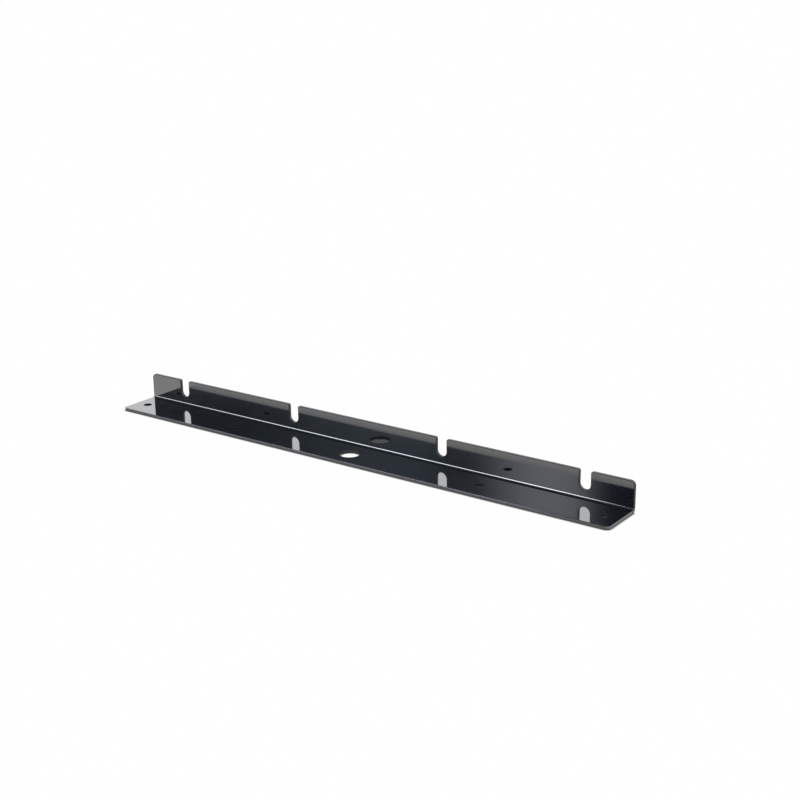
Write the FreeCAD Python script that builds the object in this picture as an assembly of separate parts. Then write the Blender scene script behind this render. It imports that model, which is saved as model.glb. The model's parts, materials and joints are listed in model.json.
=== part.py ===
import FreeCAD, Part
import os

# Rack mount ear: one strip of sheet steel, punched flat and folded once to an L.
# The side flange lies flat and screws to the side of a unit. The rack flange
# stands up at its back edge and carries four open slots for the rack screws.
# X runs along the fold, Y from the free edge of the side flange to the rack
# flange, Z up. The origin is under the middle of the ear, on the surface that it
# lies on. All sizes are in millimetres.

# Sheet and fold
sheet_thickness = 2.2
bend_inner_radius = 1.5
bend_outer_radius = bend_inner_radius + sheet_thickness
side_flange_width = 32.6
rack_flange_height = 19.8
flange_corner_radius = 3.0

# Rack slots: a rack post's holes repeat at two long spacings and a short one, which
# make a rack unit, and the slots meet four holes of a nine-unit stretch.
long_hole_spacing = 15.875
short_hole_spacing = 12.7
rack_unit = 2 * long_hole_spacing + short_hole_spacing
middle_slot_spacing = 2 * rack_unit + 2 * long_hole_spacing
outer_slot_spacing = 2 * rack_unit + short_hole_spacing
slot_width = 7.7
slot_depth = 12.2
slot_mouth_radius = 1.2

# Length: the outermost slots keep this much metal to the ends.
slot_to_end = 32.0
outermost_slot = middle_slot_spacing / 2 + outer_slot_spacing
ear_length = 2 * (outermost_slot + slot_to_end)

# Holes of the side flange, on one line measured from the outside of the fold
hole_line_to_fold = 18.4
cable_hole_diameter = 13.5
screw_hole_diameter = 5.3
inner_screw_spacing = 198.5
screw_hole_to_end = 10.0

# Every cutter runs past the sheet by the overrun; places closer than the tolerance are one.
cutter_overrun = 2.0
place_tolerance = 0.001

half_length = ear_length / 2
fold_y = side_flange_width / 2
free_edge_y = -side_flange_width / 2
rack_flange_inner_y = fold_y - sheet_thickness
slot_round_z = rack_flange_height - slot_depth + slot_width / 2
hole_line_y = fold_y - hole_line_to_fold


def arc(start, middle, end):
    return Part.Arc(FreeCAD.Vector(*start), FreeCAD.Vector(*middle), FreeCAD.Vector(*end)).toShape()


def line(start, end):
    return Part.makeLine(FreeCAD.Vector(*start), FreeCAD.Vector(*end))


def fold_arc(radius, x):
    # quarter circle about the fold's centre, from the side flange up to the rack flange
    centre_y = fold_y - bend_outer_radius
    centre_z = bend_outer_radius
    diagonal = radius * 0.5 ** 0.5
    return arc(
        (x, centre_y, centre_z - radius),
        (x, centre_y + diagonal, centre_z - diagonal),
        (x, centre_y + radius, centre_z),
    )


def folded_sheet():
    # L section with the true inner and outer radius of the fold, drawn along X
    x = -half_length
    tangent_y = fold_y - bend_outer_radius
    tangent_z = bend_outer_radius
    edges = [
        line((x, free_edge_y, 0), (x, tangent_y, 0)),
        fold_arc(bend_outer_radius, x),
        line((x, fold_y, tangent_z), (x, fold_y, rack_flange_height)),
        line((x, fold_y, rack_flange_height), (x, rack_flange_inner_y, rack_flange_height)),
        line((x, rack_flange_inner_y, rack_flange_height), (x, rack_flange_inner_y, tangent_z)),
        fold_arc(bend_inner_radius, x),
        line((x, tangent_y, sheet_thickness), (x, free_edge_y, sheet_thickness)),
        line((x, free_edge_y, sheet_thickness), (x, free_edge_y, 0)),
    ]
    section = Part.Face(Part.Wire(Part.sortEdges(edges)[0]))
    return section.extrude(FreeCAD.Vector(ear_length, 0, 0))


def is_flange_corner(edge):
    # an edge through the sheet's thickness, at an end of the ear and a free edge of a flange
    box = edge.BoundBox
    at_end = min(abs(box.XMin + half_length), abs(box.XMax - half_length)) < place_tolerance
    across_end = box.XLength < place_tolerance
    on_side_flange = abs(box.YMax - free_edge_y) < place_tolerance
    on_rack_flange = abs(box.ZMin - rack_flange_height) < place_tolerance
    return at_end and across_end and (on_side_flange or on_rack_flange)


def round_flange_corners(sheet):
    corners = [edge for edge in sheet.Edges if is_flange_corner(edge)]
    return sheet.makeFillet(flange_corner_radius, corners)


def slot_cutter(slot_x):
    # open slot seen along Y: round bottom, straight sides and a mouth with rounded lips
    y = rack_flange_inner_y - cutter_overrun
    radius = slot_width / 2
    lip = slot_mouth_radius
    lip_cut = lip * (1 - 0.5 ** 0.5)
    lip_z = rack_flange_height - lip
    mouth_z = rack_flange_height
    top_z = rack_flange_height + cutter_overrun
    left, right = slot_x - radius, slot_x + radius
    edges = [
        arc((left, y, slot_round_z), (slot_x, y, slot_round_z - radius), (right, y, slot_round_z)),
        line((right, y, slot_round_z), (right, y, lip_z)),
        arc((right, y, lip_z), (right + lip_cut, y, mouth_z - lip_cut), (right + lip, y, mouth_z)),
        line((right + lip, y, mouth_z), (right + lip, y, top_z)),
        line((right + lip, y, top_z), (left - lip, y, top_z)),
        line((left - lip, y, top_z), (left - lip, y, mouth_z)),
        arc((left - lip, y, mouth_z), (left - lip_cut, y, mouth_z - lip_cut), (left, y, lip_z)),
        line((left, y, lip_z), (left, y, slot_round_z)),
    ]
    outline = Part.Face(Part.Wire(Part.sortEdges(edges)[0]))
    return outline.extrude(FreeCAD.Vector(0, sheet_thickness + 2 * cutter_overrun, 0))


def hole_cutter(hole_x, diameter):
    base = FreeCAD.Vector(hole_x, hole_line_y, -cutter_overrun)
    height = sheet_thickness + 2 * cutter_overrun
    return Part.makeCylinder(diameter / 2, height, base, FreeCAD.Vector(0, 0, 1))


def both_ways(distance):
    return [-distance, distance]


def ear_bracket():
    inner_slot = middle_slot_spacing / 2
    slot_places = both_ways(inner_slot) + both_ways(outermost_slot)
    screw_places = both_ways(inner_screw_spacing / 2) + both_ways(half_length - screw_hole_to_end)
    cutters = [slot_cutter(x) for x in slot_places]
    cutters += [hole_cutter(x, screw_hole_diameter) for x in screw_places]
    cutters.append(hole_cutter(0, cable_hole_diameter))
    return round_flange_corners(folded_sheet()).cut(cutters)


os.makedirs("parts", exist_ok=True)
bracket = ear_bracket()
bracket.exportStep("parts/ear_bracket.step")
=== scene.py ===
import json
import math

import bmesh
import bpy
from bpy.props import FloatProperty, FloatVectorProperty, IntProperty, PointerProperty
from bpy.types import Operator, Panel, PropertyGroup
from mathutils import Matrix, Vector


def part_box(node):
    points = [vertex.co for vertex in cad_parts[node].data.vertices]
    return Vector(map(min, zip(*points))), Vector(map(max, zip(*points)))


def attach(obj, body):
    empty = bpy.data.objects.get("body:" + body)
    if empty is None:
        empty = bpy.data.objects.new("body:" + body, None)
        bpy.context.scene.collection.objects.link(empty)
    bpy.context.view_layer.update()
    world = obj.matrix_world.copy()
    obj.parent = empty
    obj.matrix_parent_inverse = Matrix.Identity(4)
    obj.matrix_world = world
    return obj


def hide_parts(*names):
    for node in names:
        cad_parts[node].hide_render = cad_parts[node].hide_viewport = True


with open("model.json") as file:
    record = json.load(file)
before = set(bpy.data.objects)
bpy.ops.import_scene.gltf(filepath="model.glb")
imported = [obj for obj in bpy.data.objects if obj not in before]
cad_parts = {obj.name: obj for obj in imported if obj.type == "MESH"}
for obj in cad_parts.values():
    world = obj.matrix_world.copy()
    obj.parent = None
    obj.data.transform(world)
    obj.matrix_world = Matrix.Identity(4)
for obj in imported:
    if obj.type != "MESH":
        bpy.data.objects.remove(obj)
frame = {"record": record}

bl_info = {
    "name": "Rack Ear Bracket",
    "version": (1, 0, 0),
    "blender": (4, 5, 0),
    "location": "View3D > Sidebar > Rack Ear",
    "description": "Folds a slotted rack ear from one strip of sheet steel and paints it gloss black",
    "category": "Object",
}

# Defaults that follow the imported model, in metres
EAR_LOW, EAR_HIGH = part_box("ear_bracket")
EAR_SIZE = EAR_HIGH - EAR_LOW
MM = 0.001
MOUNTS = {mount["name"]: mount for mount in frame["record"]["mounts"]}
CABLE_HOLE = MOUNTS["cable_hole"]
INNER_SCREWS = MOUNTS["inner_unit_screws"]
OUTER_SCREWS = MOUNTS["outer_unit_screws"]

# Counts of the pattern, and points of a circle
SLOT_COUNT = 4
HOLE_COUNT = 5
CORNERS_OF_A_SLOT = 4
POINTS_OF_A_HOLE = 72

# The two roundings of a slot's bottom stop just short of each other
NEARLY_MEETING = 0.999

# Points of neighbouring parts of the sheet that are closer than this are one
WELD_DISTANCE = 0.002 * MM

# How little the paint mirrors where it runs thin over a cut edge
WALL_DULLNESS = 0.85
TOP_EDGE_DULLNESS = 0.7
CABLE_HOLE_DULLNESS = 0.6

# Across a cut edge the dullness changes while the face turns between these slopes
INSIDE_SLOPES = (0.2, 0.6)
OUTSIDE_SLOPES = (-0.6, -0.2)


# Properties


def length(name, description, default):
    return FloatProperty(
        name=name, description=description, default=default, min=0.0, unit="LENGTH", precision=5
    )


def whole(name, description, default, least):
    return IntProperty(name=name, description=description, default=default, min=least)


def level(name, description, default):
    return FloatProperty(name=name, description=description, default=default, min=0.0)


def share(name, description, default):
    return FloatProperty(name=name, description=description, default=default, min=0.0, max=1.0)


def colour(name, description, default):
    return FloatVectorProperty(
        name=name, description=description, subtype="COLOR", size=3, default=default
    )


class EarSizes(PropertyGroup):
    """Lengths of the folded sheet."""

    ear_length: length("Ear Length", "Length along the fold", EAR_SIZE.x)
    side_flange_width: length(
        "Side Flange Width", "From the free edge to the outside of the fold", EAR_SIZE.y
    )
    rack_flange_height: length(
        "Rack Flange Height", "From the outside of the fold to the free edge", EAR_SIZE.z
    )
    sheet_thickness: length(
        "Sheet Thickness", "Steel with its paint", CABLE_HOLE["dims"]["length_mm"] * MM
    )
    fold_inner_radius: length("Fold Inner Radius", "Radius inside the fold", 1.2 * MM)
    flange_corner_radius: length("Flange Corner Radius", "Rounding of the four free corners", 3.0 * MM)
    edge_radius: length(
        "Edge Radius", "Rounding that the paint leaves along every punched edge", 0.25 * MM
    )
    slot_width: length("Slot Width", "Width of an open slot", 7.7 * MM)
    slot_depth: length(
        "Slot Depth", "From the rack flange's free edge to the bottom of a slot", 12.2 * MM
    )
    slot_mouth_radius: length("Slot Mouth Radius", "Rounding of the lips of a slot", 1.2 * MM)
    inner_slot_place: length("Inner Slot Place", "Inner slots, from the middle", 60.325 * MM)
    outer_slot_place: length("Outer Slot Place", "Outer slots, from the middle", 161.925 * MM)
    hole_line_to_fold: length(
        "Hole Line to Fold", "From the holes' line to the outside of the fold",
        EAR_HIGH.y - CABLE_HOLE["pos_m"][1],
    )
    cable_hole_radius: length(
        "Cable Hole Radius", "The large hole at mid-length", CABLE_HOLE["dims"]["r_mm"] * MM
    )
    screw_hole_radius: length(
        "Screw Hole Radius", "The four small holes", INNER_SCREWS["dims"]["hole_r_mm"] * MM
    )
    inner_screw_place: length(
        "Inner Screw Place", "Inner screw holes, from the middle",
        INNER_SCREWS["dims"]["spacing_x_mm"] * MM / 2,
    )
    outer_screw_place: length(
        "Outer Screw Place", "Outer screw holes, from the middle",
        OUTER_SCREWS["dims"]["spacing_x_mm"] * MM / 2,
    )
    fold_steps: whole("Fold Steps", "Rows of faces round the fold", 24, 2)
    edge_steps: whole("Edge Steps", "Rows of faces round a quarter of an edge", 5, 1)
    corner_steps: whole("Corner Steps", "Points round each corner of the outline", 16, 2)


class PaintLook(PropertyGroup):
    """Gloss black paint."""

    paint_colour: colour("Paint", "Colour under the gloss", (0.0028, 0.0048, 0.0088))
    dust_colour: colour("Dust", "Colour of the few specks of dust", (0.045, 0.045, 0.043))
    gloss_roughness: share("Gloss Roughness", "Roughness of clean paint", 0.065)
    wall_roughness: share("Wall Roughness", "Roughness of the dull paint on cut edges", 0.5)
    refraction: level("Refraction", "Index that sets how strongly the paint mirrors", 2.4)
    wall_refraction: level("Wall Refraction", "The same index of the dull paint", 1.3)
    peel_height: length("Orange Peel", "Height of the paint's fine waves", 0.0006 * MM)


class StudioLook(PropertyGroup):
    """Floor and light."""

    floor_colour: colour("Floor", "Colour of the floor", (0.9, 0.9, 0.9))
    floor_glow: share("Floor Glow", "Share of the floor seen as plain white", 0.985)
    contact_reach: length("Contact Reach", "How far the floor looks darker beside the ear", 1.4 * MM)
    # The darker floor that the paint mirrors is a painted shade, set by distance from the ear
    shade_reach: length(
        "Shade Reach", "How far the paint mirrors a darker floor beside the ear", 22.0 * MM
    )
    room_colour: colour("Room Colour", "Colour of the room's light", (0.84, 1.0, 1.17))
    box_colour: colour("Box Colour", "Colour of the light in front", (0.97, 1.0, 1.09))
    room_strength: level("Room", "Light of the room from every side", 0.16)
    low_box_strength: level("Low Box", "Brightness of the low soft box in front", 2.25)
    horizon_strength: level("Horizon", "Brightness just above the floor's far edge", 8.4)
    back_box_strength: level("Back Box", "Brightness of the soft box behind", 1.54)
    sky_strength: level("Sky", "Brightness of the wide soft light overhead and at the right", 0.88)


# Node trees


class Link:
    """An output of a node. Arithmetic on it adds Math nodes."""

    def __init__(self, tree, socket):
        self.tree = tree
        self.socket = socket

    def out(self, name):
        return Link(self.tree, self.socket.node.outputs[name])

    def math(self, operation, *values):
        return self.tree.add("ShaderNodeMath", {"operation": operation}, dict(enumerate(values)))

    def __add__(self, other):
        return self.math("ADD", self, other)

    def __radd__(self, other):
        return self.math("ADD", other, self)

    def __sub__(self, other):
        return self.math("SUBTRACT", self, other)

    def __rsub__(self, other):
        return self.math("SUBTRACT", other, self)

    def __mul__(self, other):
        return self.math("MULTIPLY", self, other)

    def __truediv__(self, other):
        return self.math("DIVIDE", self, other)

    def __neg__(self):
        return self.math("MULTIPLY", self, -1.0)

    def __abs__(self):
        return self.math("ABSOLUTE", self)


class NodeTree:
    """Builds one tree of shader or geometry nodes."""

    def __init__(self, tree):
        self.tree = tree
        tree.nodes.clear()

    def add(self, kind, settings=None, inputs=None):
        """Add a node with its settings and the values or links of its inputs, by name or number."""
        node = self.tree.nodes.new(kind)
        for name, setting in (settings or {}).items():
            setattr(node, name, setting)
        for key, value in (inputs or {}).items():
            socket = self.find_input(node, key)
            for one in value if isinstance(value, list) else [value]:
                if isinstance(one, Link):
                    self.tree.links.new(one.socket, socket)
                else:
                    socket.default_value = one
        first = next((socket for socket in node.outputs if socket.enabled), None)
        return Link(self, first) if first else node

    def find_input(self, node, key):
        if isinstance(key, int):
            return node.inputs[key]
        return next(socket for socket in node.inputs if socket.enabled and socket.name == key)

    def vector(self, x=0.0, y=0.0, z=0.0):
        return self.add("ShaderNodeCombineXYZ", inputs={"X": x, "Y": y, "Z": z})

    def split(self, vector):
        """The X of a vector, whose Y and Z follow by out."""
        return self.add("ShaderNodeSeparateXYZ", inputs={"Vector": vector})

    def ramp(self, value, start, end, low=0.0, high=1.0, kind="LINEAR"):
        """Go from low to high while value goes from start to end."""
        return self.add(
            "ShaderNodeMapRange",
            {"interpolation_type": kind},
            {"Value": value, "From Min": start, "From Max": end, "To Min": low, "To Max": high},
        )


class GeometryTree(NodeTree):
    """Builds a tree of geometry nodes whose inputs are the ear's sizes."""

    def __init__(self, name, sizes):
        super().__init__(bpy.data.node_groups.new(name, "GeometryNodeTree"))
        for label, value in sizes.items():
            kind = "NodeSocketInt" if isinstance(value, int) else "NodeSocketFloat"
            self.tree.interface.new_socket(label, in_out="INPUT", socket_type=kind)
        self.tree.interface.new_socket("Paint", in_out="INPUT", socket_type="NodeSocketMaterial")
        self.tree.interface.new_socket("Geometry", in_out="OUTPUT", socket_type="NodeSocketGeometry")
        self.inputs = self.add("NodeGroupInput")

    def size(self, label):
        return self.inputs.out(label)

    def index(self):
        return self.add("GeometryNodeInputIndex")

    def points(self, count):
        """A line of points that are put in their places by move."""
        return self.add("GeometryNodeMeshLine", inputs={"Count": count})

    def move(self, geometry, position):
        return self.add("GeometryNodeSetPosition", inputs={"Geometry": geometry, "Position": position})

    def join(self, *parts):
        return self.add("GeometryNodeJoinGeometry", inputs={0: list(parts)})

    def pick(self, condition, yes, no):
        """yes where the condition is over zero, otherwise no."""
        return self.add(
            "GeometryNodeSwitch",
            {"input_type": "FLOAT"},
            {"Switch": condition, "True": yes, "False": no},
        )

    def line(self, start, end):
        """A straight curve."""
        return self.add("GeometryNodeCurvePrimitiveLine", inputs={"Start": start, "End": end})

    def place(self):
        """Where a point is."""
        return self.split(self.add("GeometryNodeInputPosition"))


# The folded sheet. It is drawn flat, as the strip that is punched: x runs along the
# ear and y from the side flange's free edge to the rack flange's. Then it is folded.


class FlatStrip:
    """Places on the flat strip, worked out from the ear's sizes."""

    def __init__(self, tree):
        self.half_length = tree.size("Ear Length") / 2
        self.side_edge = tree.size("Side Flange Width") / -2
        self.fold_radius = tree.size("Fold Inner Radius") + tree.size("Sheet Thickness")
        self.fold_start = tree.size("Side Flange Width") / 2 - self.fold_radius
        middle_radius = tree.size("Fold Inner Radius") + tree.size("Sheet Thickness") / 2
        self.fold_length = middle_radius * (math.pi / 2)
        self.fold_end = self.fold_start + self.fold_length
        self.rack_edge = self.fold_end + tree.size("Rack Flange Height") - self.fold_radius
        # A narrow flat strip beside each rounding keeps the shading of the large faces even.
        self.margin = tree.size("Edge Radius") / 2
        self.rim = tree.size("Edge Radius") + self.margin


def four_points(tree, *places):
    """An open line through four places."""
    corners = {f"Point {number}": tree.vector(*place) for number, place in enumerate(places, 1)}
    loop = tree.add("GeometryNodeCurvePrimitiveQuadrilateral", {"mode": "POINTS"}, corners)
    return tree.add("GeometryNodeSetSplineCyclic", inputs={"Geometry": loop, "Cyclic": False})


def rounded(tree, curve, radius, steps):
    return tree.add(
        "GeometryNodeFilletCurve",
        {"mode": "POLY"},
        {"Curve": curve, "Count": steps, "Radius": radius, "Limit Radius": True},
    )


def row_place(tree, count, inner, outer):
    """x of each of a row of points that lie in pairs about the middle."""
    from_middle = tree.index() - (count - 1) / 2
    is_outer = tree.add("ShaderNodeMath", {"operation": "GREATER_THAN"}, {0: abs(from_middle), 1: 1.0})
    return from_middle.math("SIGN", from_middle) * tree.pick(is_outer, outer, inner)


def side_flange_outline(tree, flat):
    """Free edges of the side flange, from the fold at the right round to the fold at the left."""
    fold = flat.fold_start - flat.margin
    right, left = flat.half_length, -flat.half_length
    corners = four_points(
        tree, (right, fold), (right, flat.side_edge), (left, flat.side_edge), (left, fold)
    )
    return rounded(tree, corners, tree.size("Flange Corner Radius"), tree.size("Corner Steps"))


def ordered_points(tree, curve, first):
    """The points of a curve, numbered from first on."""
    points = tree.add("GeometryNodeCurveToPoints", {"mode": "EVALUATED"}, {"Curve": curve})
    return tree.add(
        "GeometryNodeStoreNamedAttribute",
        {"data_type": "FLOAT", "domain": "POINT"},
        {"Geometry": points, "Name": "order", "Value": tree.index() + first},
    )


def rack_flange_outline(tree, flat):
    """Free edges of the rack flange from left to right, in and out of its open slots."""
    half_slot = tree.size("Slot Width") / 2
    depth = tree.size("Slot Depth")
    slot = four_points(
        tree, (-half_slot, 0.0), (-half_slot, -depth), (half_slot, -depth), (half_slot, 0.0)
    )
    slot_x = row_place(tree, SLOT_COUNT, tree.size("Inner Slot Place"), tree.size("Outer Slot Place"))
    places = tree.move(tree.points(SLOT_COUNT), tree.vector(slot_x, flat.rack_edge))
    slots = tree.add("GeometryNodeInstanceOnPoints", inputs={"Points": places, "Instance": slot})
    slots = tree.add("GeometryNodeRealizeInstances", inputs={"Geometry": slots})
    fold = flat.fold_end + flat.margin
    right, left = flat.half_length, -flat.half_length
    left_end = tree.line(tree.vector(left, fold), tree.vector(left, flat.rack_edge))
    right_end = tree.line(tree.vector(right, flat.rack_edge), tree.vector(right, fold))
    first_of_slots = 2
    first_of_right_end = first_of_slots + SLOT_COUNT * CORNERS_OF_A_SLOT
    corners = tree.join(
        ordered_points(tree, left_end, 0),
        ordered_points(tree, slots, first_of_slots),
        ordered_points(tree, right_end, first_of_right_end),
    )
    order = tree.add("GeometryNodeInputNamedAttribute", {"data_type": "FLOAT"}, {"Name": "order"})
    outline = tree.add("GeometryNodePointsToCurves", inputs={"Points": corners, "Weight": order})
    place = tree.place()
    beyond_slots = abs(place.out("X")) - tree.size("Outer Slot Place") - tree.size("Slot Width")
    at_slot_bottom = flat.rack_edge - depth / 2 - place.out("Y")
    bottom_radius = half_slot * NEARLY_MEETING
    slot_radius = tree.pick(at_slot_bottom, bottom_radius, tree.size("Slot Mouth Radius"))
    radius = tree.pick(beyond_slots, tree.size("Flange Corner Radius"), slot_radius)
    return rounded(tree, outline, radius, tree.size("Corner Steps"))


def hole_outlines(tree, flat):
    """The holes of the side flange: a large one at mid-length and four for screws."""
    hole_x = row_place(tree, HOLE_COUNT, tree.size("Inner Screw Place"), tree.size("Outer Screw Place"))
    hole_y = -flat.side_edge - tree.size("Hole Line to Fold")
    places = tree.move(tree.points(HOLE_COUNT), tree.vector(hole_x, hole_y))
    is_screw_hole = abs(tree.index() - HOLE_COUNT // 2)
    radius = tree.pick(is_screw_hole, tree.size("Screw Hole Radius"), tree.size("Cable Hole Radius"))
    circle = tree.add(
        "GeometryNodeCurvePrimitiveCircle", inputs={"Resolution": POINTS_OF_A_HOLE, "Radius": 1.0}
    )
    holes = tree.add(
        "GeometryNodeInstanceOnPoints",
        inputs={"Points": places, "Instance": circle, "Scale": tree.vector(radius, radius, 1.0)},
    )
    return tree.add("GeometryNodeRealizeInstances", inputs={"Geometry": holes})


def fold_row(tree, flat, row):
    """y of a row of faces: one row on each flange and the rest round the fold."""
    steps = tree.size("Fold Steps")
    round_fold = tree.ramp(row, 1.0, steps + 1, flat.fold_start, flat.fold_end)
    below = tree.ramp(row, 0.0, 1.0, -flat.margin, 0.0)
    above = tree.ramp(row, steps + 1, steps + 2, 0.0, flat.margin)
    return round_fold + below + above


def fold_ends(tree, flat):
    """Ends of the fold: up at the left and down at the right, as the outline runs."""
    last_row = tree.size("Fold Steps") + 2
    left, right = -flat.half_length, flat.half_length
    ends = []
    for x, start, end in [(left, 0.0, last_row), (right, last_row, 0.0)]:
        line = tree.line(tree.vector(x, start), tree.vector(x, end))
        rows = tree.add("GeometryNodeResampleCurve", inputs={"Curve": line, "Count": last_row + 1})
        place = tree.place()
        ends.append(tree.move(rows, tree.vector(x, fold_row(tree, flat, place.out("Y")))))
    return tree.join(*ends)


def upright_normals(tree, curve):
    return tree.add("GeometryNodeSetCurveNormal", {"mode": "Z_UP"}, {"Curve": curve})


def edge_band(tree, flat, outline, dullness):
    """The sheet's cut edge along an outline, rounded by the paint on both faces."""
    depth = -tree.size("Sheet Thickness")
    section = four_points(tree, (flat.rim, depth), (0.0, depth), (0.0, 0.0), (flat.rim, 0.0))
    section = rounded(tree, section, tree.size("Edge Radius"), tree.size("Edge Steps"))
    band = tree.add(
        "GeometryNodeCurveToMesh",
        inputs={"Curve": upright_normals(tree, outline), "Profile Curve": section},
    )
    return tree.add(
        "GeometryNodeStoreNamedAttribute",
        {"data_type": "FLOAT", "domain": "FACE"},
        {"Geometry": band, "Name": "dullness", "Value": dullness},
    )


def edge_dullness(tree, walls, inner_rims):
    """How dull an edge band is: its walls, its rims inside the fold and those outside it."""
    facing = tree.split(tree.add("GeometryNodeInputNormal")).out("Z")
    inside = tree.ramp(facing, *INSIDE_SLOPES, walls, inner_rims)
    outside = tree.ramp(facing, *OUTSIDE_SLOPES, WALL_DULLNESS, 0.0)
    return inside.math("MAXIMUM", inside, outside)


def rack_edge_dullness(tree, flat):
    """The rack flange's top edge is brighter than the walls of its slots and its ends."""
    place = tree.place()
    below_top = flat.rack_edge - place.out("Y") - tree.size("Slot Mouth Radius") / 2
    top = edge_dullness(tree, TOP_EDGE_DULLNESS, 0.0)
    return tree.pick(below_top, edge_dullness(tree, WALL_DULLNESS, WALL_DULLNESS), top)


def hole_edge_dullness(tree):
    """The wall of the cable hole mirrors more than those of the screw holes."""
    place = tree.place()
    at_screw_hole = abs(place.out("X")) - tree.size("Inner Screw Place") / 2
    cable_hole = edge_dullness(tree, CABLE_HOLE_DULLNESS, 0.0)
    return tree.pick(at_screw_hole, edge_dullness(tree, WALL_DULLNESS, 0.0), cable_hole)


def flat_face(tree, flat, outline):
    """The flat face that the edge bands of these outlines leave."""
    inward = tree.add(
        "ShaderNodeVectorMath",
        {"operation": "SCALE"},
        {"Vector": tree.add("GeometryNodeInputNormal"), "Scale": flat.rim},
    )
    loop = tree.add(
        "GeometryNodeSetPosition",
        inputs={"Geometry": upright_normals(tree, outline), "Offset": inward},
    )
    loop = tree.add("GeometryNodeSetSplineCyclic", inputs={"Geometry": loop, "Cyclic": True})
    face = tree.add("GeometryNodeFillCurve", {"mode": "TRIANGLES"}, {"Curve": loop})
    return tree.add("GeometryNodeSetShadeSmooth", inputs={"Geometry": face, "Shade Smooth": False})


def fold_face(tree, flat):
    """The rows of faces that will bend."""
    last_row = tree.size("Fold Steps") + 2
    grid = tree.add(
        "GeometryNodeMeshGrid",
        inputs={
            "Size X": (flat.half_length - flat.rim) * 2,
            "Size Y": last_row,
            "Vertices X": 2,
            "Vertices Y": last_row + 1,
        },
    )
    place = tree.place()
    row = place.out("Y") + last_row / 2
    return tree.move(grid, tree.vector(place.out("X"), fold_row(tree, flat, row)))


def both_faces(tree, face):
    """The face on the underside and again on the top of the sheet."""
    lifted = tree.add(
        "GeometryNodeSetPosition",
        inputs={"Geometry": face, "Offset": tree.vector(0.0, 0.0, tree.size("Sheet Thickness"))},
    )
    return tree.join(face, lifted)


def folded(tree, flat, sheet):
    """The flat sheet with its rack flange folded up."""
    place = tree.place()
    x, y, z = place.out("X"), place.out("Y"), place.out("Z")
    angle = tree.ramp(y, flat.fold_start, flat.fold_end, 0.0, math.pi / 2)
    radius = flat.fold_radius - z
    before = y.math("MINIMUM", y, flat.fold_start)
    beyond = y.math("MAXIMUM", y - flat.fold_end, 0.0)
    folded_y = before + radius * angle.math("SINE", angle)
    folded_z = flat.fold_radius - radius * angle.math("COSINE", angle) + beyond
    return tree.move(sheet, tree.vector(x, folded_y, folded_z))


def folded_sheet_nodes(sizes):
    """Geometry nodes that punch and fold the ear."""
    tree = GeometryTree("Folded Ear", sizes)
    flat = FlatStrip(tree)
    side = side_flange_outline(tree, flat)
    rack = rack_flange_outline(tree, flat)
    holes = hole_outlines(tree, flat)
    faces = tree.join(
        flat_face(tree, flat, tree.join(side, holes)),
        flat_face(tree, flat, rack),
        fold_face(tree, flat),
    )
    ends = fold_ends(tree, flat)
    edges = tree.join(
        edge_band(tree, flat, side, edge_dullness(tree, 0.0, 0.0)),
        edge_band(tree, flat, rack, rack_edge_dullness(tree, flat)),
        edge_band(tree, flat, holes, hole_edge_dullness(tree)),
        edge_band(tree, flat, ends, edge_dullness(tree, TOP_EDGE_DULLNESS, WALL_DULLNESS)),
    )
    sheet = folded(tree, flat, tree.join(both_faces(tree, faces), edges))
    sheet = tree.add(
        "GeometryNodeMergeByDistance", inputs={"Geometry": sheet, "Distance": WELD_DISTANCE}
    )
    sheet = tree.add("GeometryNodeRealizeInstances", inputs={"Geometry": sheet})
    sheet = tree.add(
        "GeometryNodeSetMaterial", inputs={"Geometry": sheet, "Material": tree.size("Paint")}
    )
    tree.add("NodeGroupOutput", inputs={"Geometry": sheet})
    return tree.tree


def plain_mesh(piece):
    """Turn the result of a piece's nodes into its own mesh."""
    evaluated = piece.evaluated_get(bpy.context.evaluated_depsgraph_get())
    mesh = bpy.data.meshes.new_from_object(evaluated)
    piece.modifiers.clear()
    piece.data = mesh


def close_and_face_outwards(mesh):
    """Make the faces of a closed mesh point outwards, or raise an error where it is open."""
    work = bmesh.new()
    work.from_mesh(mesh)
    open_edges = [edge for edge in work.edges if not edge.is_manifold]
    if open_edges:
        raise RuntimeError(f"{mesh.name} has {len(open_edges)} open edges")
    bmesh.ops.recalc_face_normals(work, faces=work.faces)
    work.to_mesh(mesh)
    work.free()


def ear_from_nodes(sizes, paint):
    """One mesh object of the folded ear, made by geometry nodes from the sizes."""
    ear = bpy.data.objects.new("painted_ear", bpy.data.meshes.new("painted_ear"))
    bpy.context.scene.collection.objects.link(ear)
    nodes = folded_sheet_nodes(sizes)
    fold = ear.modifiers.new("Fold", "NODES")
    fold.node_group = nodes
    for item in nodes.interface.items_tree:
        if item.in_out == "INPUT":
            fold[item.identifier] = paint if item.name == "Paint" else sizes[item.name]
    plain_mesh(ear)
    close_and_face_outwards(ear.data)
    return ear


# Finish. Scales are repeats per metre; one cell in forty holds a speck of dust.

SMEAR_SCALE = 45.0
SMEAR_EDGES = (0.48, 0.75)
SMEAR_ROUGHNESS = 0.03
SPECK_SCALE = 260.0
SPECK_EDGES = (0.04, 0.02)
SPECK_NUMBERS = (0.97, 0.98)
SETTLED_SLOPES = (0.7, 0.95)
DUST_COVER = 0.6
DUST_ROUGHNESS = 0.3
FINE_WAVE_SCALE = 420.0
BROAD_WAVE_SCALE = 60.0
BROAD_WAVE_WEIGHT = 3.0


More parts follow.
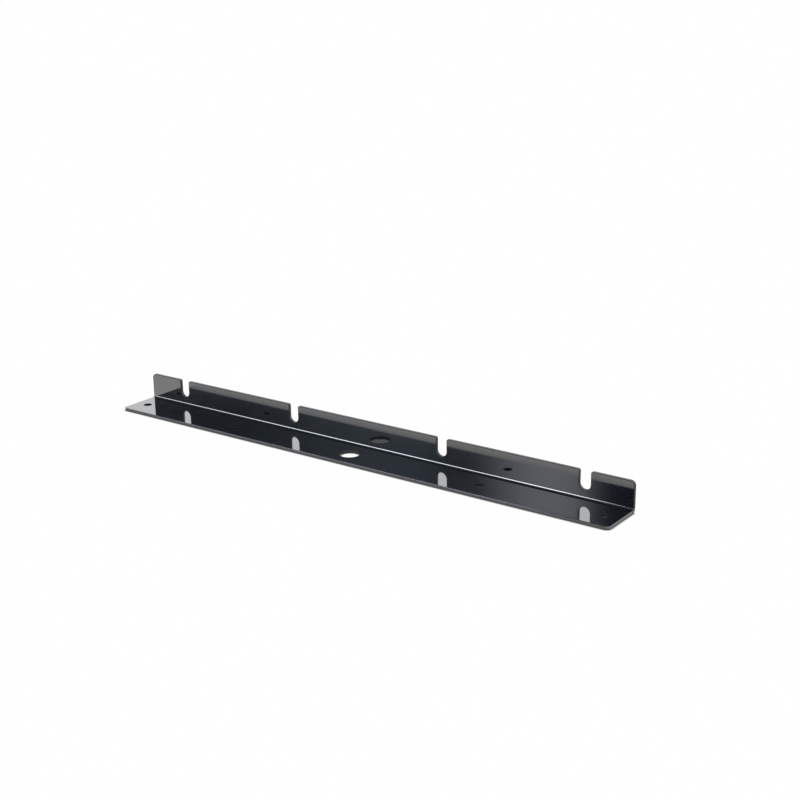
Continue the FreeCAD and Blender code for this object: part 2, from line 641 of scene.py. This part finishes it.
def gloss_paint(look):
    """Deep black paint with a mirror gloss, fine waves, faint smears and a few specks of dust."""
    material = bpy.data.materials.new("gloss_black_paint")
    material.use_nodes = True
    tree = NodeTree(material.node_tree)
    place = tree.add("ShaderNodeTexCoord").out("Object")
    facing_up = tree.split(tree.add("ShaderNodeNewGeometry").out("Normal")).out("Z")

    smears = tree.add(
        "ShaderNodeTexNoise",
        inputs={"Vector": place, "Scale": SMEAR_SCALE, "Detail": 4.0, "Roughness": 0.6},
    )
    smears = tree.ramp(smears, *SMEAR_EDGES, kind="SMOOTHSTEP")
    speck = tree.add(
        "ShaderNodeTexVoronoi", {"feature": "F1"}, {"Vector": place, "Scale": SPECK_SCALE}
    )
    speck_number = tree.add("ShaderNodeSeparateColor", inputs={"Color": speck.out("Color")}).out("Red")
    settled = tree.ramp(facing_up, *SETTLED_SLOPES)
    dust = tree.ramp(speck, *SPECK_EDGES) * tree.ramp(speck_number, *SPECK_NUMBERS) * settled

    tint = tree.add(
        "ShaderNodeMix",
        {"data_type": "RGBA"},
        {
            "Factor": dust * DUST_COVER,
            "A": (*look.paint_colour, 1.0),
            "B": (*look.dust_colour, 1.0),
        },
    )
    roughness = look.gloss_roughness + smears * SMEAR_ROUGHNESS + dust * DUST_ROUGHNESS

    fine_waves = tree.add(
        "ShaderNodeTexNoise", inputs={"Vector": place, "Scale": FINE_WAVE_SCALE, "Detail": 1.0}
    )
    broad_waves = tree.add(
        "ShaderNodeTexNoise", inputs={"Vector": place, "Scale": BROAD_WAVE_SCALE, "Detail": 1.0}
    )
    relief = tree.add(
        "ShaderNodeBump",
        inputs={
            "Height": fine_waves + broad_waves * BROAD_WAVE_WEIGHT,
            "Strength": 1.0,
            "Distance": look.peel_height,
        },
    )
    gloss = tree.add(
        "ShaderNodeBsdfPrincipled",
        inputs={
            "Base Color": tint,
            "Roughness": roughness,
            "Normal": relief,
            "IOR": look.refraction,
        },
    )
    dull = tree.add(
        "ShaderNodeBsdfPrincipled",
        inputs={
            "Base Color": (*look.paint_colour, 1.0),
            "Roughness": look.wall_roughness,
            "IOR": look.wall_refraction,
        },
    )
    dullness = tree.add(
        "ShaderNodeAttribute", {"attribute_type": "GEOMETRY", "attribute_name": "dullness"}
    ).out("Fac")
    surface = tree.add("ShaderNodeMixShader", inputs={0: dullness, 1: gloss, 2: dull})
    tree.add("ShaderNodeOutputMaterial", inputs={"Surface": surface})
    return material


# Studio

# Camera: place in metres, angles in radians
CAMERA_PLACE = Vector((0.522301, -0.658827, 0.307168))
CAMERA_AZIMUTH = 0.632741
CAMERA_ELEVATION = 0.310665
CAMERA_ROLL = -0.014105
FOCAL_LENGTH_IN_PIXELS = 1385.4815
PHOTO_WIDTH_IN_PIXELS = 800
SENSOR_WIDTH = 36.0
FARTHEST_SEEN = 200.0

# Floor: half its width in metres, how open and how light it is right under the ear's edge,
# and how many times faster its painted shade, seen in the paint's mirror, fades past the ear's ends than
# beside the ear
FLOOR_HALF_SIZE = 60.0
OPEN_SHARE_UNDER_EDGE = 0.45
SEEN_UNDER_EDGE = 0.05
MIRRORED_UNDER_EDGE = 0.45
END_FALL_OFF = 8.0

# Lights, in degrees towards the left or above the floor. Four numbers say where a light starts,
# is full, fades and has ended, and two say where a single rise or fall begins and ends.
LOW_BOX_SPAN = (27.3, 28.7, 30.0, 33.8)
LOW_BOX_TOP = (23.0, 25.0)
SIDE_GLOW_SPAN = (33.0, 35.6, 35.8, 44.5)
SIDE_GLOW_SHARE = 0.21
HORIZON_START = (24.5, 26.9)
HORIZON_FADE = (32.0, 56.0)
HORIZON_TOP = (14.0, 17.0)
HORIZON_DIP_SPAN = (28.0, 30.4, 31.2, 33.6)
HORIZON_DIP = 0.5
BACK_BOX_SPAN = (-75.0, -60.0, 70.0, 80.0)
BACK_BOX_HEIGHTS = (2.0, 6.0, 34.0, 44.0)
ROOM_RISE = (20.0, 45.0)
ROOM_LOW_SHARE = 0.1

# The sky rises between these x of a direction, too far right for the flanges to mirror it to the camera
SKY_EDGE = (-0.36, -0.15)

WHITE = (1.0, 1.0, 1.0)


def floor_finish(look):
    """A pale floor that looks white, darker near the ear: to the camera by ambient occlusion, and in the
    paint's mirror by a painted shade that fades with distance from the ear.
    """
    material = bpy.data.materials.new("pale_floor")
    material.use_nodes = True
    tree = NodeTree(material.node_tree)
    place = tree.split(tree.add("ShaderNodeTexCoord").out("Object"))
    beside = (abs(place.out("X")) - EAR_SIZE.x / 2) * END_FALL_OFF
    before = abs(place.out("Y")) - EAR_SIZE.y / 2
    beside, before = (place.math("MAXIMUM", distance, 0.0) for distance in (beside, before))
    away = tree.add(
        "ShaderNodeVectorMath", {"operation": "LENGTH"}, {"Vector": tree.vector(beside, before)}
    ).out("Value")
    open_share = tree.add(
        "ShaderNodeAmbientOcclusion", inputs={"Distance": look.contact_reach}
    ).out("AO")
    seen_level = tree.ramp(open_share, OPEN_SHARE_UNDER_EDGE, 1.0, SEEN_UNDER_EDGE, 1.0)
    # Painted shade: in the paint's mirror the floor's white dims towards the ear's footprint, standing in
    # for the ear's shadow
    mirrored_level = tree.ramp(away, 0.0, look.shade_reach, MIRRORED_UNDER_EDGE, 1.0)
    path = tree.add("ShaderNodeLightPath")
    seen, glossy, through = (path.out(f"Is {kind} Ray") for kind in ("Camera", "Glossy", "Transmission"))
    mirrored = glossy.math("MAXIMUM", glossy, through)
    shading = tree.add("ShaderNodeBsdfDiffuse", inputs={"Color": (*look.floor_colour, 1.0)})
    white = tree.add(
        "ShaderNodeEmission",
        inputs={"Color": (*WHITE, 1.0), "Strength": seen * seen_level + mirrored * mirrored_level},
    )
    surface = tree.add(
        "ShaderNodeMixShader",
        inputs={0: (seen + mirrored) * look.floor_glow, 1: shading, 2: white},
    )
    tree.add("ShaderNodeOutputMaterial", inputs={"Surface": surface})
    return material


def add_floor(look):
    size = FLOOR_HALF_SIZE
    floor = bpy.data.objects.new("floor", bpy.data.meshes.new("floor"))
    corners = [(-size, -size, 0.0), (size, -size, 0.0), (size, size, 0.0), (-size, size, 0.0)]
    floor.data.from_pydata(corners, [], [(0, 1, 2, 3)])
    floor.data.materials.append(floor_finish(look))
    bpy.context.scene.collection.objects.link(floor)


def light_room(look):
    """Light of the world: a dim room, soft boxes in front and behind, a bright horizon and a sky.

    The camera sees plain white instead.
    """
    world = bpy.data.worlds.new("studio")
    world.use_nodes = True
    bpy.context.scene.world = world
    tree = NodeTree(world.node_tree)
    way = tree.split(tree.add("ShaderNodeTexCoord"))
    x, y, z = way, way.out("Y"), way.out("Z")
    # degrees towards the left, from straight in front and from straight behind, and above the floor
    round_left = (-x).math("ARCTAN2", -x, -y) * math.degrees(1)
    behind_left = (-x).math("ARCTAN2", -x, y) * math.degrees(1)
    height = z.math("ARCSINE", z) * math.degrees(1)

    def window(value, start, full, fade, end):
        rise = tree.ramp(value, start, full, kind="SMOOTHSTEP")
        return rise * (1 - tree.ramp(value, fade, end, kind="SMOOTHSTEP"))

    low = 1 - tree.ramp(height, *LOW_BOX_TOP, kind="SMOOTHSTEP")
    low_box = window(round_left, *LOW_BOX_SPAN) * low
    side_glow = window(round_left, *SIDE_GLOW_SPAN) * low * SIDE_GLOW_SHARE
    horizon = tree.ramp(round_left, *HORIZON_START, kind="SMOOTHSTEP")
    horizon = horizon * tree.ramp(round_left, *HORIZON_FADE, 1.0, 0.0)
    horizon = horizon * (1 - window(round_left, *HORIZON_DIP_SPAN) * HORIZON_DIP)
    horizon = horizon * (1 - tree.ramp(height, *HORIZON_TOP, kind="SMOOTHSTEP"))
    behind = window(behind_left, *BACK_BOX_SPAN) * window(height, *BACK_BOX_HEIGHTS)
    sky = tree.ramp(x, *SKY_EDGE, kind="SMOOTHSTEP")
    room = tree.ramp(round_left, *ROOM_RISE, ROOM_LOW_SHARE, 1.0) * look.room_strength
    bluish = room + side_glow * look.low_box_strength
    front = low_box * look.low_box_strength + horizon * look.horizon_strength
    plain = behind * look.back_box_strength + sky * look.sky_strength

    def glow(tone, strength):
        return tree.add("ShaderNodeBackground", inputs={"Color": (*tone, 1.0), "Strength": strength})

    boxes = tree.add(
        "ShaderNodeAddShader", inputs={0: glow(look.box_colour, front), 1: glow(WHITE, plain)}
    )
    shading = tree.add(
        "ShaderNodeAddShader", inputs={0: glow(look.room_colour, bluish), 1: boxes}
    )
    camera_ray = tree.add("ShaderNodeLightPath").out("Is Camera Ray")
    surface = tree.add(
        "ShaderNodeMixShader", inputs={0: camera_ray, 1: shading, 2: glow(WHITE, 1.0)}
    )
    tree.add("ShaderNodeOutputWorld", inputs={"Surface": surface})


def add_camera():
    """The camera as the photograph was taken, fitted to the ear's edges, slots and holes."""
    camera = bpy.data.objects.new("camera", bpy.data.cameras.new("camera"))
    camera.data.sensor_width = SENSOR_WIDTH
    camera.data.lens = FOCAL_LENGTH_IN_PIXELS / PHOTO_WIDTH_IN_PIXELS * SENSOR_WIDTH
    camera.data.clip_end = FARTHEST_SEEN
    across = math.cos(CAMERA_ELEVATION)
    back = Vector((
        math.sin(CAMERA_AZIMUTH) * across,
        -math.cos(CAMERA_AZIMUTH) * across,
        math.sin(CAMERA_ELEVATION),
    ))
    right = Vector((math.cos(CAMERA_AZIMUTH), math.sin(CAMERA_AZIMUTH), 0.0))
    upright = Matrix((right, back.cross(right), back)).transposed()
    turned = upright @ Matrix.Rotation(CAMERA_ROLL, 3, "Z")
    camera.matrix_world = Matrix.Translation(CAMERA_PLACE) @ turned.to_4x4()
    bpy.context.scene.collection.objects.link(camera)
    bpy.context.scene.camera = camera


# Operators


class RACKEAR_OT_fold_ear(Operator):
    """Punch, fold and paint the rack ear"""

    bl_idname = "rackear.fold_ear"
    bl_label = "Fold Ear"

    def execute(self, context):
        values = context.scene.ear_sizes
        sizes = {
            values.bl_rna.properties[name].name: getattr(values, name)
            for name in EarSizes.__annotations__
        }
        ear = ear_from_nodes(sizes, gloss_paint(context.scene.paint_look))
        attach(ear, "root")
        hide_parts("ear_bracket")
        return {"FINISHED"}


class RACKEAR_OT_set_stage(Operator):
    """Lay the floor, light the room and place the camera"""

    bl_idname = "rackear.set_stage"
    bl_label = "Set Stage"

    def execute(self, context):
        look = context.scene.studio_look
        context.scene.view_settings.view_transform = "Standard"
        add_floor(look)
        light_room(look)
        add_camera()
        return {"FINISHED"}


class RACKEAR_PT_panel(Panel):
    """Buttons and values of the rack ear"""

    bl_idname = "RACKEAR_PT_panel"
    bl_label = "Rack Ear"
    bl_space_type = "VIEW_3D"
    bl_region_type = "UI"
    bl_category = "Rack Ear"

    def draw(self, context):
        groups = [
            ("ear_sizes", "rackear.fold_ear"),
            ("paint_look", None),
            ("studio_look", "rackear.set_stage"),
        ]
        for group, operator in groups:
            values = getattr(context.scene, group)
            column = self.layout.column(align=True)
            for name in type(values).__annotations__:
                column.prop(values, name)
            if operator:
                self.layout.operator(operator)


CLASSES = (
    EarSizes,
    PaintLook,
    StudioLook,
    RACKEAR_OT_fold_ear,
    RACKEAR_OT_set_stage,
    RACKEAR_PT_panel,
)


def register():
    for cls in CLASSES:
        bpy.utils.register_class(cls)
    bpy.types.Scene.ear_sizes = PointerProperty(type=EarSizes)
    bpy.types.Scene.paint_look = PointerProperty(type=PaintLook)
    bpy.types.Scene.studio_look = PointerProperty(type=StudioLook)


def unregister():
    del bpy.types.Scene.studio_look
    del bpy.types.Scene.paint_look
    del bpy.types.Scene.ear_sizes
    for cls in reversed(CLASSES):
        bpy.utils.unregister_class(cls)


def main():
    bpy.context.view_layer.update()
    register()
    bpy.ops.rackear.set_stage()
    bpy.ops.rackear.fold_ear()


if __name__ == "__main__":
    main()
